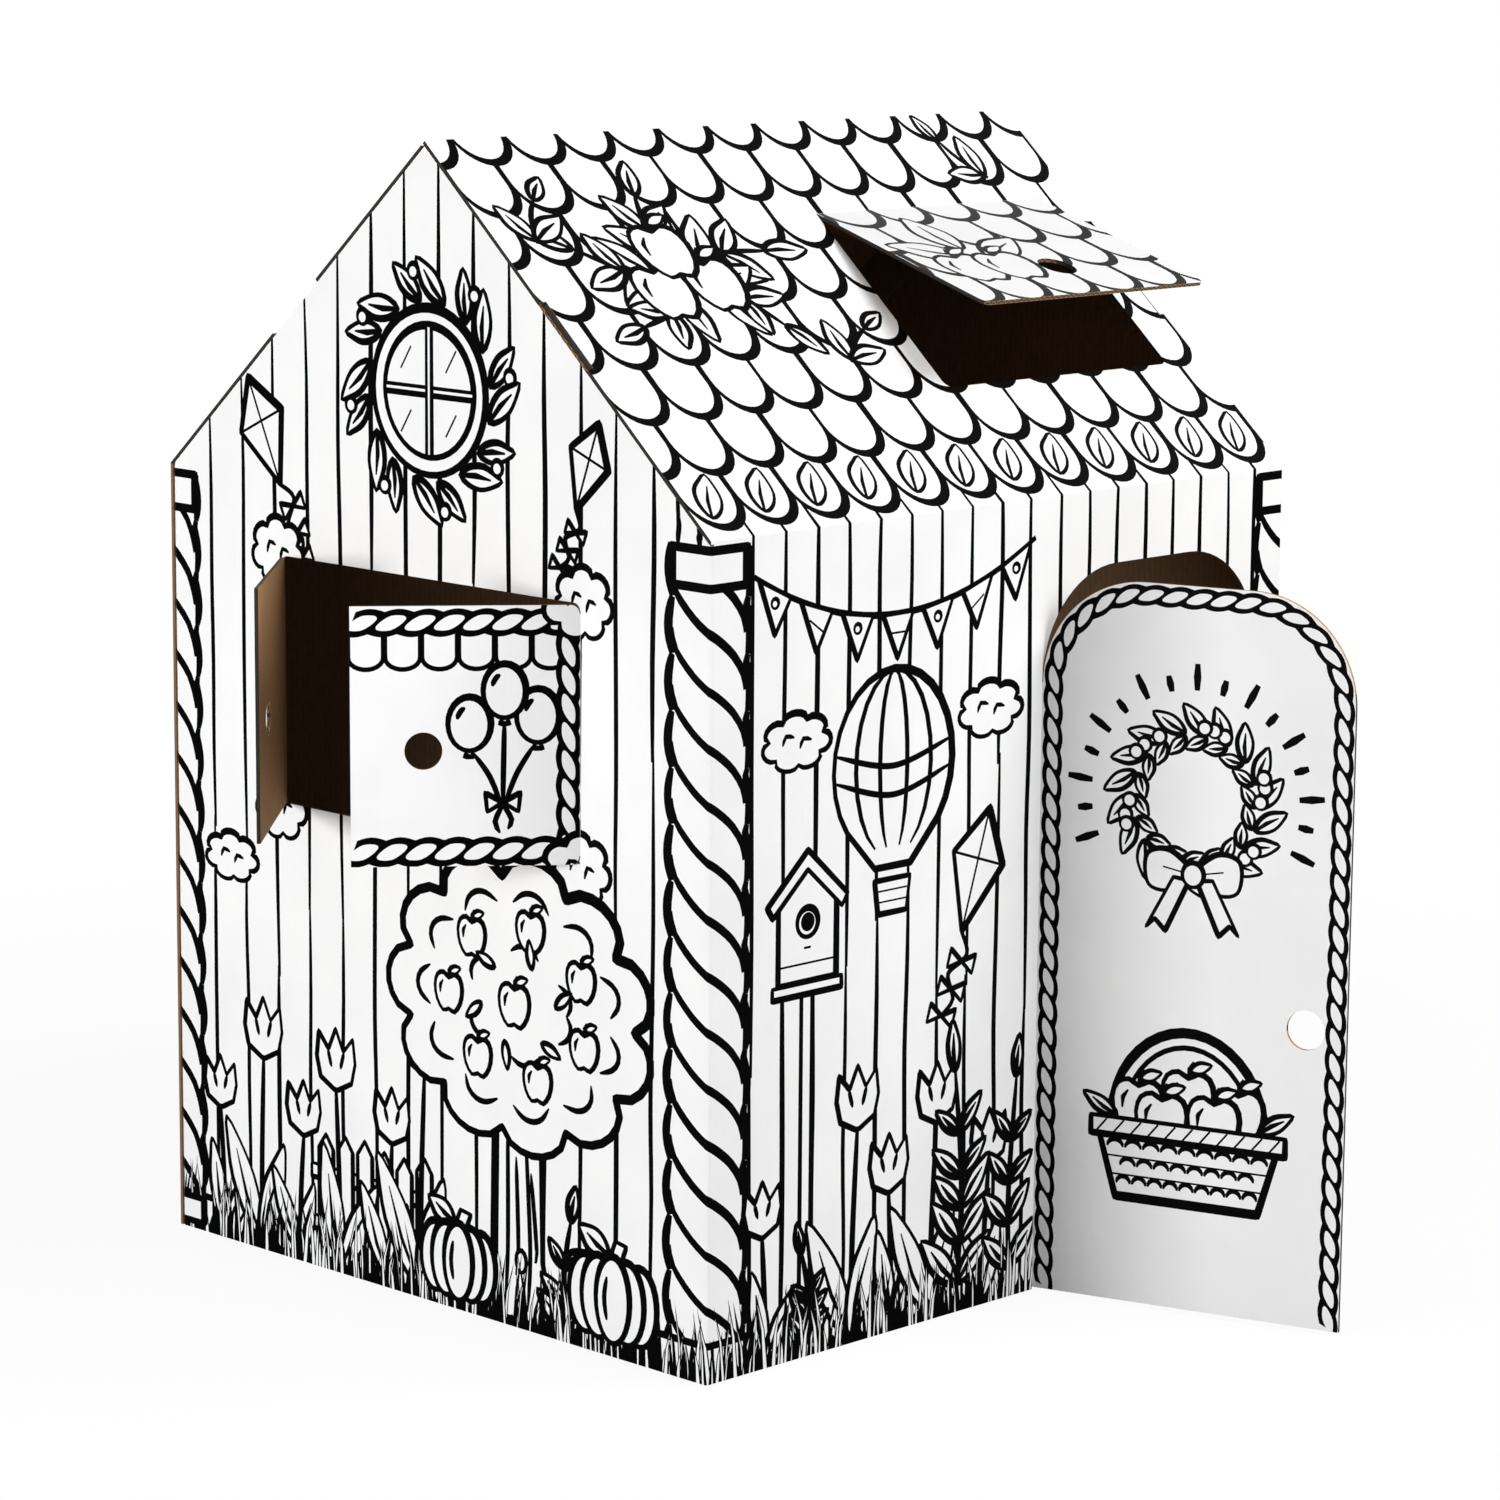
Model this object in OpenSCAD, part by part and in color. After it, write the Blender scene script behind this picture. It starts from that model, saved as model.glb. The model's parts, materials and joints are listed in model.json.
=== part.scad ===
// Cardboard playhouse folded from two corrugated sheets, with a door, two shutters and a skylight.
// +Z is up, X runs along the ridge and the door wall faces -Y.
// The origin is on the floor, at the middle of the door wall's foot.

/* [House] */
// Length along the ridge, outside
house_l = 880; // [800:5:1000]
// Width across the gables, outside
house_w = 830; // [760:5:960]
// Height of the eave fold
eave_h = 853; // [780:1:940]
// Height of the ridge
ridge_h = 1220; // [1120:5:1340]

/* [Board] */
// Thickness of the corrugated board
board_t = 4; // [3:0.5:6]
// Width of the line that a cutting knife leaves
cut_gap = 1; // [0.5:0.1:2]
// Gap between a leaf and the wall along its crease
crease_gap = 0.3; // [0.2:0.1:0.6]
// Gap between boards that lie on each other
lay_gap = 0.3; // [0.2:0.1:0.6]

/* [Door] */
// Width of the doorway
door_w = 350; // [300:5:375]
// Strip of wall between the doorway and the corner beside it
door_side = 40; // [34:1:80]
// Height of wall left above the doorway
door_head = 80; // [50:1:140]
// Radius of the doorway's upper corners
door_r = 115; // [60:1:150]
// Height of the door's lower edge above the floor
door_lift = 3; // [2:0.5:10]
// Angle at which the door stands open
door_open = 73; // [10:1:90]

/* [Window] */
// Width of the window
window_w = 462; // [380:2:520]
// Height of the window
window_h = 267; // [200:1:300]
// Height of the window's sill above the floor
window_sill = 504; // [440:1:560]
// Radius of the window's corners
window_r = 10; // [4:1:30]
// Angle at which the left shutter stands open, seen from outside
left_open = 47; // [10:1:90]
// Angle at which the right shutter stands open, seen from outside
right_open = 50; // [10:1:90]

/* [Skylight] */
// Width of the skylight along the ridge
sky_w = 357; // [280:1:400]
// Length of the skylight down the slope
sky_h = 257; // [200:1:270]
// Strip of roof between the skylight and the roof's edge beside it
sky_side = 56; // [40:1:90]
// Distance of the skylight's lower edge from the eave
sky_up = 158; // [120:1:180]
// Radius of the skylight's lower corners
sky_r = 10; // [4:1:30]
// Angle at which the skylight's flap stands open
sky_open = 24; // [10:1:90]

/* [Finger holes] */
// Diameter of the finger hole in the door
door_hole_d = 42; // [30:1:50]
// Distance of its centre from the door's free edge
door_hole_in = 45; // [34:1:80]
// Height of its centre above the door's lower edge
door_hole_up = 317; // [250:1:400]
// Diameter of the finger holes in the shutters
shutter_hole_d = 38; // [30:1:50]
// Distance of their centres from the shutters' free edges
shutter_hole_in = 73; // [40:1:90]
// Height of their centres above the shutters' lower edges
shutter_hole_up = 118; // [90:1:130]
// Diameter of the finger hole in the skylight's flap
sky_hole_d = 44; // [30:1:50]
// Distance of its centre from the flap's free edge
sky_hole_in = 74; // [40:1:100]
// Distance of its centre from the flap's edge beside it
sky_hole_side = 165; // [120:1:180]

/* [Flaps] */
// Width of the glued corner flaps
glue_w = 30; // [20:1:32]
// Height of the slanted cuts at the ends of the glued corner flaps
glue_cut = 12; // [5:1:25]
// Width of each roof tab where it folds down inside a gable
tab_w = 88; // [60:2:120]
// Length of each roof tab
tab_l = 50; // [30:1:70]
// Slant of each roof tab's sides
tab_slant = 12; // [4:1:20]
// Width of the relief cut at each end of a tab's fold
relief_w = 3; // [2:0.5:6]
// Width of the ridge flap that is tucked under the front slope
ridge_flap_w = 58; // [40:1:64]
// Distance of the ridge flap's ends from the gables
ridge_flap_in = 12; // [8:1:40]
// Radius of the ridge flap's free corners
ridge_flap_r = 25; // [10:1:38]

/* [Hidden] */
$fn = 48;
cut_past = 10;
white = [0.93, 0.93, 0.92];
shade = [0.85, 0.85, 0.84];
half_l = house_l / 2;
past_l = house_l + 2 * cut_past;
half_w = house_w / 2;
pitch = atan((ridge_h - eave_h) / half_w);
fold_r = 1.06 * board_t;
in_l = half_l - board_t;
in_w = half_w - board_t;
in_eave = eave_h - board_t * tan((90 - pitch) / 2);
lay_drop = lay_gap / cos(pitch);
gable_top = in_eave + in_w * tan(pitch) - lay_drop;
gable_side = in_eave - board_t * tan(pitch) - lay_drop;
front_slope = in_w * cos(pitch) + (ridge_h - in_eave) * sin(pitch);
back_slope = (in_w - (board_t + lay_gap) / (2 * sin(pitch))) / cos(pitch);
flap_line = in_w - lay_gap - board_t;
tab_line = in_l - lay_gap - board_t;
door_x = half_l - door_side - door_w;
door_h = eave_h - door_head;
sky_x = half_l - sky_side - sky_w;
sky_hinge = sky_up + sky_h;
shutter_w = window_w / 2 - cut_gap / 2;

// Moves from the middle of the footprint to the middle of the door wall's foot.
module placed() translate([0, half_w - board_t / 2, 0]) children();

// The frame of the front slope's inner face: Y runs up the slope and Z points outwards.
module on_slope() translate([0, -in_w, in_eave]) rotate([pitch, 0, 0]) children();

// Stands a flat outline up along X, with its thickness inwards.
module stand_up() rotate([90, 0, 0]) translate([0, 0, -board_t]) linear_extrude(board_t) children();

// The rounded outer side of a fold, about the Z axis, from one board's end to the other's.
module fold(length, start, turn) rotate([0, 0, start]) rotate_extrude(angle = turn) square([board_t, length]);

// What rounds the outer side of a fold along X, and a board along Y that runs through the fold.
module fold_round(length) translate([-length / 2, 0, 0]) rotate([0, 90, 0]) cylinder(h = length, r = fold_r);

module fold_slab(length, below = 0) translate([-length / 2, -2 * board_t, -below])
    cube([length, 4 * board_t, board_t + below]);

module round_corner_rect(w, h, r) {
    translate([r, 0]) square([w - 2 * r, h]);
    translate([0, r]) square([w, h - 2 * r]);
    for (x = [r, w - r], y = [r, h - r]) translate([x, y]) circle(r);
}

module arch(w, h, r) {
    square([w, h - r]);
    translate([r, 0]) square([w - 2 * r, h]);
    for (x = [r, w - r]) translate([x, h - r]) circle(r);
}

// All that lies below both slopes, for the gable and the glued flap.
module under_roof() rotate([90, 0, 90]) translate([0, 0, -half_l]) linear_extrude(house_l)
    polygon([[-half_w, 0], [half_w, 0], [half_w, gable_side], [0, gable_top], [-half_w, gable_side]]);

module gable() intersection() {
    union() {
        translate([-half_l, -in_w, 0]) cube([board_t, in_w + flap_line, ridge_h]);
        translate([-in_l, -in_w, 0]) fold(ridge_h, 180, 90);
        translate([-in_l, flap_line, 0]) fold(ridge_h, 90, 90);
        glue_flap();
    }
    under_roof();
}

// The flap at the gable's far edge, glued inside the other sheet's wall.
module glue_flap() translate([-in_l, flap_line, 0]) stand_up() polygon([
    [0, 0], [glue_w, glue_cut], [glue_w, gable_side - glue_cut], [0, gable_side]]);

module wall() translate([-in_l, -half_w, 0]) cube([in_l + half_l, board_t, in_eave]);

module eave_fold() intersection() {
    translate([0, -in_w, in_eave]) fold_round(past_l);
    translate([0, -in_w, in_eave]) rotate([90, 0, 0]) fold_slab(past_l);
    on_slope() fold_slab(past_l);
}

// One slope, with its edges set back where the tabs fold down.
module slope(length) on_slope() linear_extrude(board_t) difference() {
    translate([-past_l / 2, 0]) square([past_l, length]);
    for (side = [-1, 1]) translate([side * past_l / 2, front_slope / 2])
        square([past_l - 2 * tab_line, tab_w + 2 * relief_w], center = true);
}

// The eave's fold and the slope above it, cut off in line with the gables.
module roof(length) intersection() {
    union() {
        eave_fold();
        slope(length);
    }
    translate([-half_l, -house_w, 0]) cube([house_l, 2 * house_w, 2 * ridge_h]);
}

// A tab folded down from the slope's edge and tucked inside the gable.
module roof_tab() on_slope() translate([-tab_line, front_slope / 2, 0]) {
    translate([0, tab_w / 2, 0]) rotate([90, 0, 0]) fold(tab_w, 90, 90);
    translate([-board_t, 0, 0]) rotate([90, 0, 90]) linear_extrude(board_t) polygon([
        [-tab_w / 2, 0], [-tab_w / 2 + tab_slant, -tab_l], [tab_w / 2 - tab_slant, -tab_l], [tab_w / 2, 0]]);
}

// One folded sheet before its openings are cut.
module sheet(slope_length) {
    gable();
    wall();
    roof(slope_length);
    for (side = [0, 1]) mirror([side, 0, 0]) roof_tab();
}

// The flap along the back slope's top, folded down to lie under the front slope.
module ridge_flap() on_slope() translate([0, back_slope, 0]) {
    flap_l = 2 * (in_l - ridge_flap_in);
    for (turn = [0, 2 * pitch]) intersection() {
        fold_round(flap_l);
        rotate([-turn, 0, 0]) fold_slab(flap_l);
        rotate([turn - 2 * pitch, 0, 0]) fold_slab(flap_l, 4 * board_t);
    }
    rotate([-2 * pitch, 0, 0]) translate([-flap_l / 2, 0, 0]) linear_extrude(board_t) {
        square([flap_l, ridge_flap_w - ridge_flap_r]);
        translate([ridge_flap_r, 0]) square([flap_l - 2 * ridge_flap_r, ridge_flap_w]);
        for (x = [ridge_flap_r, flap_l - ridge_flap_r])
            translate([x, ridge_flap_w - ridge_flap_r]) circle(ridge_flap_r);
    }
}

module doorway() translate([door_x, -half_w, -cut_past]) rotate([90, 0, 0])
    translate([0, 0, -board_t - cut_past / 2]) linear_extrude(board_t + cut_past)
        arch(door_w, door_h + cut_past, door_r);

module window_cut() translate([-half_l - cut_past / 2, -window_w / 2, window_sill])
    rotate([90, 0, 90]) linear_extrude(board_t + cut_past)
        round_corner_rect(window_w, window_h, window_r);

// The skylight's outline, square at its crease and rounded below.
module sky_outline(inset) difference() {
    translate([inset, inset]) round_corner_rect(sky_w - 2 * inset, sky_h + 2 * sky_r, sky_r);
    translate([-cut_past, sky_h]) square([sky_w + 2 * cut_past, sky_h]);
}

module sky_cut() on_slope() translate([sky_x, sky_up, -cut_past / 2])
    linear_extrude(board_t + cut_past) sky_outline(0);

module front_sheet() color(white) placed() difference() {
    sheet(front_slope);
    doorway();
    window_cut();
    sky_cut();
}

module back_sheet() color(white) placed() rotate([0, 0, 180]) {
    sheet(back_slope);
    ridge_flap();
}

// The door hangs on a crease along its straight side, below the arch.
module door() color(shade) placed() translate([door_x, -half_w, door_lift]) rotate([0, 0, -door_open])
    difference() {
        stand_up() {
            translate([cut_gap, 0])
                arch(door_w - 2 * cut_gap, door_h - door_lift - cut_gap, door_r - cut_gap);
            translate([crease_gap, 0]) square([door_w / 2, door_h - door_r - door_lift]);
        }
        translate([door_w - cut_gap - door_hole_in, cut_past, door_hole_up])
            rotate([90, 0, 0]) cylinder(h = 2 * cut_past, d = door_hole_d);
    }

// A shutter hinged at X = 0, with its free edge towards +X and its thickness towards +Y.
module shutter() difference() {
    leaf_h = window_h - 2 * cut_gap;
    corner_r = window_r - cut_gap;
    stand_up() {
        difference() {
            translate([cut_gap, 0]) round_corner_rect(window_w, leaf_h, corner_r);
            translate([shutter_w, -cut_past]) square([window_w, leaf_h + 2 * cut_past]);
        }
        translate([crease_gap, corner_r]) square([shutter_w / 2, leaf_h - 2 * corner_r]);
    }
    translate([shutter_w - shutter_hole_in, cut_past, shutter_hole_up])
        rotate([90, 0, 0]) cylinder(h = 2 * cut_past, d = shutter_hole_d);
}

module left_shutter() color(shade) placed()
    translate([-half_l, window_w / 2, window_sill + cut_gap])
        rotate([0, 0, -90 - left_open]) shutter();

module right_shutter() color(shade) placed()
    translate([-half_l, -window_w / 2, window_sill + cut_gap])
        rotate([0, 0, -90 + right_open]) mirror([1, 0, 0]) shutter();

module skylight_flap() color(white) placed() on_slope() translate([sky_x, sky_hinge, board_t])
    rotate([-sky_open, 0, 0]) translate([0, -sky_h, -board_t]) difference() {
        linear_extrude(board_t) difference() {
            sky_outline(cut_gap);
            translate([-cut_past, sky_h - crease_gap]) square([sky_w + 2 * cut_past, sky_h]);
        }
        translate([sky_w - sky_hole_side, sky_hole_in, -cut_past])
            cylinder(h = board_t + 2 * cut_past, d = sky_hole_d);
    }

front_sheet();
back_sheet();
door();
left_shutter();
right_shutter();
skylight_flap();
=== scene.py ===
import json
import math
import random

import bpy
from mathutils import Matrix, Vector
from mathutils.geometry import delaunay_2d_cdt


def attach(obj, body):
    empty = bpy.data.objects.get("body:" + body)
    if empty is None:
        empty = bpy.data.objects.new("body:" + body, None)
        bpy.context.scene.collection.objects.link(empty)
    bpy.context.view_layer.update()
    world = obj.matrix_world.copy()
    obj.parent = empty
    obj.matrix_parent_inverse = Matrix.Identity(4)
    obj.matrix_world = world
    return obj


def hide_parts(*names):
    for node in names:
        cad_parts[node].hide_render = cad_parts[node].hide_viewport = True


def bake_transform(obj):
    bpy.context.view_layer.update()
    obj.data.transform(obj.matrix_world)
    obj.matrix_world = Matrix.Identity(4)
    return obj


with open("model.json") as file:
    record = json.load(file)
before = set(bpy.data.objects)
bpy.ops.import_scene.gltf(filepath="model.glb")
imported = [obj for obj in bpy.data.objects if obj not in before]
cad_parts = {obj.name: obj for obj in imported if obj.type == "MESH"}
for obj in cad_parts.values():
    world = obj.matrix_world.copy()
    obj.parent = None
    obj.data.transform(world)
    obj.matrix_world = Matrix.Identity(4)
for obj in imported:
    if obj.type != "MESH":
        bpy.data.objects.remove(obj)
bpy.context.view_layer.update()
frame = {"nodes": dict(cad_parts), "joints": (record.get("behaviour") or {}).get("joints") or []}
joints = {j["name"]: j for j in frame["joints"]}
dice = random.Random(7)

# The skins of a board, in the order of the mesh's material slots. The side and inner skins are near-black
# and dark brown copies that carry painted shade.
SKINS = ("paper", "ink", "kraft", "flutes", "side", "inner")
PAPER, INK, KRAFT, FLUTES, SHADED_SIDE, SHADED_INNER = range(len(SKINS))

# Sizes of the folded sheets, in metres
HALF_L = 0.440
WALL_Y = -0.002
BOARD = 0.004
FOLD_X = -(HALF_L - BOARD)
FOLD_Y = WALL_Y + BOARD
FAR_FOLD_Y = 0.8197
MID_Y = 0.413
EAVE_Z = 0.8511976
PITCH = math.atan2(0.367, 0.415)
FOLD_R = 1.06 * BOARD
FOLD_TURN = math.pi / 2 - PITCH
FOLD_IN = math.acos(BOARD / FOLD_R)
FOLD_OUT = math.sqrt(FOLD_R ** 2 - BOARD ** 2)
GABLE_S = FOLD_X - BOARD * math.pi / 2
FAR_S = GABLE_S - (FAR_FOLD_Y - FOLD_Y)
EAVE_T = EAVE_Z + FOLD_OUT
SLOPE_T = EAVE_T + FOLD_R * (FOLD_TURN - 2 * FOLD_IN)
UP = (math.cos(PITCH), math.sin(PITCH))
OUT = (-math.sin(PITCH), math.cos(PITCH))
NEAR = 2e-5
UNDER_ROOF = -1e-4
FACING = 0.99
FOLD_TOP = 849.5


def slope_of(p):
    """Distance up the slope from the eave's inner line, and above the slope's inner face."""
    y, z = p[1] - FOLD_Y, p[2] - EAVE_Z
    return y * UP[0] + z * UP[1], y * OUT[0] + z * OUT[1]


def flat_of(p, kind):
    """Where a point of the outer surface lies on the unfolded sheet, in millimetres."""
    x, y, z = p
    if kind == "wall":
        s, t = x, z
    elif kind == "near_fold":
        s, t = FOLD_X - BOARD * math.atan2(-(x + HALF_L - BOARD), FOLD_Y - y), z
    elif kind == "gable":
        s, t = GABLE_S - (y - FOLD_Y), z
    elif kind == "far_fold":
        s, t = FAR_S - BOARD * math.atan2(y - FAR_FOLD_Y, -(x + HALF_L - BOARD)), z
    elif kind == "eave_fold":
        s, t = x, EAVE_T + FOLD_R * (math.atan2(z - EAVE_Z, FOLD_Y - y) - FOLD_IN)
    else:
        s, t = x, SLOPE_T + slope_of(p)[0] + FOLD_OUT
    return s * 1000, t * 1000


def point_of(s, t):
    """The point of the outer surface for a place on the unfolded sheet, with how deep is 0."""
    s, t = s / 1000, t / 1000
    if t > EAVE_T and s > -HALF_L - NEAR and s > GABLE_S + 0.001:
        if t < SLOPE_T:
            a = FOLD_IN + (t - EAVE_T) / FOLD_R
            return Vector((s, FOLD_Y - FOLD_R * math.cos(a), EAVE_Z + FOLD_R * math.sin(a)))
        v = t - SLOPE_T - FOLD_OUT
        return Vector((s, FOLD_Y + v * UP[0] + BOARD * OUT[0], EAVE_Z + v * UP[1] + BOARD * OUT[1]))
    if s > FOLD_X:
        return Vector((s, WALL_Y, t))
    if s > GABLE_S:
        a = (FOLD_X - s) / BOARD
        return Vector((FOLD_X - BOARD * math.sin(a), FOLD_Y - BOARD * math.cos(a), t))
    if s > FAR_S:
        return Vector((-HALF_L, FOLD_Y + GABLE_S - s, t))
    a = (FAR_S - s) / BOARD
    return Vector((FOLD_X - BOARD * math.cos(a), FAR_FOLD_Y + BOARD * math.sin(a), t))


def is_on(p, kind):
    """Whether a point lies on that part of the outer surface."""
    x, y, z = p
    w = slope_of((x, min(y, 2 * MID_Y - y), z))[1]
    if kind == "wall":
        return abs(y - WALL_Y) < NEAR
    if kind == "gable":
        return abs(x + HALF_L) < NEAR and w < UNDER_ROOF
    if kind == "slope":
        return abs(slope_of(p)[1] - BOARD) < NEAR
    if kind == "eave_fold":
        return abs(math.hypot(y - FOLD_Y, z - EAVE_Z) - FOLD_R) < NEAR and z > EAVE_Z - NEAR and y < FOLD_Y
    if kind == "near_fold":
        return (abs(math.hypot(x + HALF_L - BOARD, y - FOLD_Y) - BOARD) < NEAR and w < UNDER_ROOF
                and x < -HALF_L + BOARD + NEAR and y < FOLD_Y + NEAR)
    return (abs(math.hypot(x + HALF_L - BOARD, y - FAR_FOLD_Y) - BOARD) < NEAR and w < UNDER_ROOF
            and x < -HALF_L + BOARD + NEAR and y > FAR_FOLD_Y - NEAR)


KINDS = ("wall", "gable", "slope", "eave_fold", "near_fold", "far_fold")


def around(x, y, rx, ry, turn):
    """The point at so many degrees on an ellipse."""
    a = math.radians(turn)
    return x + rx * math.cos(a), y + ry * math.sin(a)


def with_corners(pts):
    """The line again, with a point close to each sharp corner, so that the line stays full up to it."""
    last = len(pts) - 1
    closed = math.dist(pts[0], pts[-1]) < 0.01

    def is_sharp(i):
        if i in (0, last) and not closed:
            return False
        p, q, r = pts[last - 1 if i in (0, last) else i - 1], pts[i], pts[1 if i in (0, last) else i + 1]
        a, b = (q[0] - p[0], q[1] - p[1]), (r[0] - q[0], r[1] - q[1])
        return a[0] * b[0] + a[1] * b[1] < 0.86 * math.hypot(*a) * math.hypot(*b)

    out = []
    for i, (p, q) in enumerate(zip(pts, pts[1:])):
        out.append(p)
        far = math.dist(p, q)
        if far > 8:
            spots = [1.5 / far] if is_sharp(i) else []
            spots += [1 - 1.5 / far] if is_sharp(i + 1) else []
            out += [(p[0] + (q[0] - p[0]) * k, p[1] + (q[1] - p[1]) * k) for k in spots]
    return out + [pts[-1]]


class Art:
    """A flat drawing in millimetres. Each shape is ink or paper and lies over those before it."""

    def __init__(self):
        self.points, self.faces, self.inks = [], [], []
        self.pen = 1
        self.place()

    def place(self, x=0, y=0, size=1, turn=0):
        c, s = around(0, 0, size, size, turn)
        self.map = (c, -s, x, s, c, y)

    def at(self, p):
        a, b, c, d, e, f = self.map
        return a * p[0] + b * p[1] + c, d * p[0] + e * p[1] + f

    def add(self, pts, ink):
        area = sum(p[0] * q[1] - p[1] * q[0] for p, q in zip(pts, pts[1:] + pts[:1]))
        if abs(area) < 0.02:
            return
        if len(pts) == 4:
            turns = [(q[0] - p[0]) * (r[1] - q[1]) - (q[1] - p[1]) * (r[0] - q[0])
                     for p, q, r in zip(pts, pts[1:] + pts[:1], pts[2:] + pts[:2])]
            if min(turns) * max(turns) <= 0:
                self.add([pts[0], pts[1], pts[2]], ink)
                self.add([pts[0], pts[2], pts[3]], ink)
                return
        n = len(self.points)
        self.points += pts if area > 0 else pts[::-1]
        self.faces.append(list(range(n, n + len(pts))))
        self.inks.append(ink)

    def fill(self, pts, ink=PAPER):
        self.add([self.at(p) for p in pts], ink)

    def line(self, pts, width, ends=(0.5, 0.5), swell=0.3):
        """A brush line: its width goes from ends[0] to ends[1] of full, and swells in the middle."""
        pts = with_corners([self.at(p) for p in pts])
        width *= self.pen
        closed = math.dist(pts[0], pts[-1]) < 0.01
        if closed:
            pts.pop()
        n = len(pts)
        sides = []
        for i, p in enumerate(pts):
            a = pts[i - 1] if i or closed else p
            b = pts[(i + 1) % n] if i < n - 1 or closed else p
            dx, dy = b[0] - a[0], b[1] - a[1]
            k = math.hypot(dx, dy) or 1
            u = i / n if closed else i / (n - 1)
            bulge = math.sin(math.pi * u) if not closed else math.sin(2 * math.pi * u + 0.6)
            taper = 1 if closed else ends[0] + (ends[1] - ends[0]) * u
            if not closed:
                taper += (1 - taper) * min(1, 4 * u * (1 - u) * 1.6)
            h = width / 2 * taper * (1 + swell * bulge)
            sides.append(((p[0] - dy / k * h, p[1] + dx / k * h), (p[0] + dy / k * h, p[1] - dx / k * h)))
        if closed:
            sides.append(sides[0])
        for (a, b), (c, d) in zip(sides, sides[1:]):
            self.add([a, b, d, c], INK)

    def curve(self, pts, width, ends=(0.5, 0.5)):
        self.line(smooth(pts), width, ends)

    def shape(self, pts, width, swell=0.25, ink=PAPER):
        """A closed form filled with paper and drawn round with ink."""
        self.fill(pts, ink)
        self.line(list(pts) + [pts[0]], width, swell=swell)


def smooth(pts, closed=False, step=5):
    """A soft curve through the points."""
    n = len(pts)
    out = []
    for i in range(n if closed else n - 1):
        if closed:
            a, b, c, d = pts[i - 1], pts[i], pts[(i + 1) % n], pts[(i + 2) % n]
        else:
            a, b, c, d = pts[max(i - 1, 0)], pts[i], pts[i + 1], pts[min(i + 2, n - 1)]
        k = max(2, int(math.dist(b, c) / step))
        for j in range(k):
            u = j / k
            out.append(tuple(0.5 * (2 * q + (r - p) * u + (2 * p - 5 * q + 4 * r - s) * u * u
                                    + (3 * q - p - 3 * r + s) * u ** 3)
                             for p, q, r, s in zip(a, b, c, d)))
    if not closed:
        out.append(tuple(pts[-1]))
    return out


def oval(x, y, rx, ry=None, n=28, start=0, end=360):
    ry = rx if ry is None else ry
    full = abs(end - start) >= 360
    k = n if full else n - 1
    return [around(x, y, rx, ry, start + (end - start) * i / k) for i in range(n)]


def wobble(size):
    return dice.uniform(-size, size)


# The parts of the house's pattern, in millimetres
SHINGLE_W = 73.33
SHINGLE_H = 72
SHINGLE_ROWS = 8
ROOF_S = HALF_L * 1000
GABLE_PLANK = 52.4
WALL_PLANK = 45.6


def planks(art, places, foot, top):
    """Upright joints between boards, each of two brush lines. top(s) is where it ends."""
    for s in places:
        high = top(s)
        cut = foot + (high - foot) * dice.uniform(0.3, 0.7)
        for low, up in ((foot, cut + 6), (cut - 6, high)):
            n = max(3, int((up - low) / 90))
            pts = [(s + wobble(1.6), low + (up - low) * i / n) for i in range(n + 1)]
            art.line(smooth(pts, step=30), dice.uniform(4.4, 5.8), ends=(0.8, 0.6), swell=0.35)


def scallops(art, t0):
    """Rows of round shingles, the upper ones over the lower ones."""
    for row in range(SHINGLE_ROWS):
        t = t0 + row * SHINGLE_H
        shift = 0 if row % 2 == 0 else -SHINGLE_W / 2
        n = int(2 * ROOF_S / SHINGLE_W) + 2
        for i in range(n):
            c = -ROOF_S + SHINGLE_W / 2 + i * SHINGLE_W + shift + wobble(1.5)
            foot = t + wobble(2)
            h = SHINGLE_W / 2 + 2
            top = foot + SHINGLE_H + 40
            art.fill([(c - h, top)] + oval(c, foot + 42, h, 43, 17, 180, 360) + [(c + h, top)], INK)
            h -= 4
            art.fill([(c - h, top + 1)] + oval(c - 2.4, foot + 49, h - 1.6, 39.5, 17, 180, 356)
                     + [(c + h - 4.5, top + 1)])


def column(art, s0, s1, foot, top, strand=57):
    """A twisted corner post: bulging sides and slanting lines between its strands."""
    w = s1 - s0
    n = int((top - foot) / strand) + 3
    start = foot - 1.6 * strand
    left = [(s0 + 5.5 * (1 - abs(math.sin(math.pi * i / 8))), start + strand * i / 8)
            for i in range(8 * n + 1)]
    right = [(s1 - 5.5 * (1 - abs(math.sin(math.pi * (i / 8 + 0.15)))), start + strand * i / 8)
             for i in range(8 * n + 1)]
    art.fill(left + right[::-1])
    for i in range(n):
        y = start + i * strand
        for side in (left, right):
            art.line(side[8 * i:8 * i + 9], dice.uniform(9, 11), ends=(0.75, 0.75), swell=0.2)
        pts = [(s0 + 5, y + 26), (s0 + 11, y + 4), (s0 + w * 0.32, y - 20), (s0 + w * 0.6, y - 39),
               (s0 + w * 0.8, y - 57), (s1 - 9, y - 76), (s1 - 5, y - 92)]
        art.line(smooth(pts, step=9), dice.uniform(7.5, 9), ends=(0.6, 0.9), swell=0.12)


def block(art, s0, s1, t0, t1, side=13, line=9.5):
    art.fill([(s0, t0 + 5), (s0 + 5, t0), (s1 - 5, t0), (s1, t0 + 5),
              (s1, t1 - 5), (s1 - 5, t1), (s0 + 5, t1), (s0, t1 - 5)], INK)
    a, b, c, d = s0 + side, s1 - side, t0 + line, t1 - line
    art.fill([(a, c), (b, c), (b, d), (a, d)])


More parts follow.
